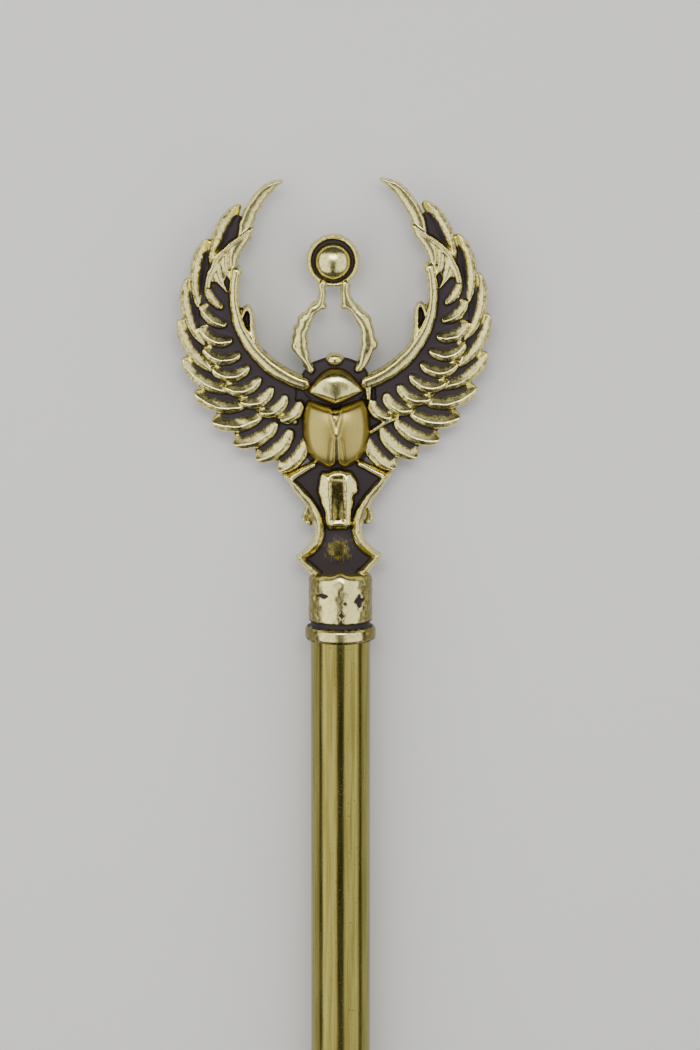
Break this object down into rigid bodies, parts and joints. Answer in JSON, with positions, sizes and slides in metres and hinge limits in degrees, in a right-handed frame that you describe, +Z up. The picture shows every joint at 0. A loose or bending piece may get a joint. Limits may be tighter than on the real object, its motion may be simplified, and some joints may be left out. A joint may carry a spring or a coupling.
{
  "type": "sceptre",
  "caption": "Sceptre with a cast winged scarab that raises a sun disc over a ribbed neck and ringed collar, on a plain metal tube with a domed end cap, lying on its back.",
  "frame": {"origin": "middle of the small flat under the collar's ring, on the surface that the sceptre lies on", "axes": "+X across the wings, +Y along the shaft towards the winged head, +Z up out of the figure's front"},
  "size_m": [0.1046, 0.5173, 0.0233],
  "materials": {
    "cast_antique_gold": "antiqued: dark purple-brown patina in the recesses, rubbed pale gold on the raised parts",
    "tube_brass": "satin, with fine lengthwise streaks"
  },
  "bodies": {
    "root": {"winged_scarab_head": "cast_antique_gold", "shaft_tube": "tube_brass", "end_cap": "cast_antique_gold"}
  },
  "joints": []
}
